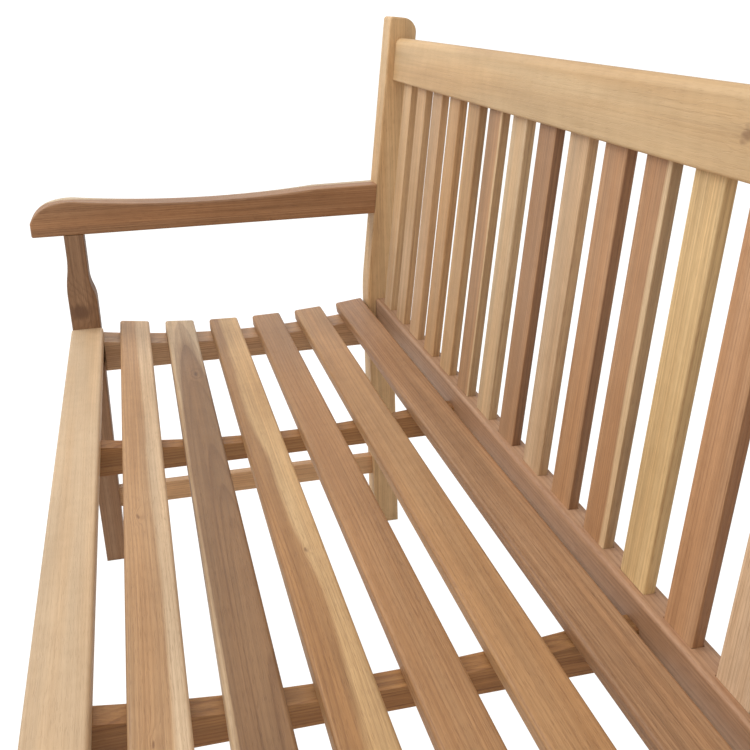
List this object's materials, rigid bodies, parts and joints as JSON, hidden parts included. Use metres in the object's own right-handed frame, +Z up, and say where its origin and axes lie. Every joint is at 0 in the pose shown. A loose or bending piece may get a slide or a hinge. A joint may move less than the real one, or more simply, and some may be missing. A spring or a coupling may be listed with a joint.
{
  "type": "garden bench",
  "caption": "Slatted hardwood garden bench with a dished seat, a leaning back of upright slats, and shaped arm rests on square legs.",
  "frame": {"origin": "on the floor under the middle of the bench's length and depth", "axes": "+X along the bench, to the right as seen by someone in front who faces it, +Y from the front edge towards the back, +Z up"},
  "size_m": [1.5, 0.6292, 0.9],
  "materials": {
    "teak_pale": "planed and sanded, unfinished pale teak",
    "teak_golden": "planed and sanded, unfinished golden teak",
    "teak_brown": "planed and sanded, unfinished brown teak",
    "stainless_steel": "satin"
  },
  "bodies": {
    "root": {"arm_left": "teak_brown", "arm_right": "teak_brown", "back_leg_left": "teak_pale", "back_leg_right": "teak_pale", "back_slat_01": "teak_golden", "back_slat_02": "teak_golden", "back_slat_03": "teak_pale", "back_slat_04": "teak_brown", "back_slat_05": "teak_golden", "back_slat_06": "teak_golden", "back_slat_07": "teak_pale", "back_slat_08": "teak_brown", "back_slat_09": "teak_pale", "back_slat_10": "teak_brown", "back_slat_11": "teak_brown", "back_slat_12": "teak_pale", "back_slat_13": "teak_brown", "back_slat_14": "teak_pale", "back_slat_15": "teak_golden", "back_slat_16": "teak_brown", "back_slat_17": "teak_pale", "barrel_nuts": "stainless_steel", "bearer_screws": "stainless_steel", "end_bearer_left": "teak_brown", "end_bearer_right": "teak_brown", "frame_bolts": "stainless_steel", "front_apron": "teak_brown", "front_leg_left": "teak_brown", "front_leg_right": "teak_brown", "front_seat_slat": "teak_pale", "front_slat_screws": "stainless_steel", "middle_bearer_left": "teak_brown", "middle_bearer_right": "teak_brown", "rear_seat_rail": "teak_brown", "seat_slat_1": "teak_pale", "seat_slat_2": "teak_brown", "seat_slat_3": "teak_golden", "seat_slat_4": "teak_golden", "seat_slat_5": "teak_golden", "seat_slat_6": "teak_brown", "side_rail_left": "teak_brown", "side_rail_right": "teak_brown", "slat_screws": "stainless_steel", "stretcher_left": "teak_golden", "stretcher_right": "teak_golden", "tenon_pegs": "teak_brown", "top_rail": "teak_pale"}
  },
  "joints": []
}
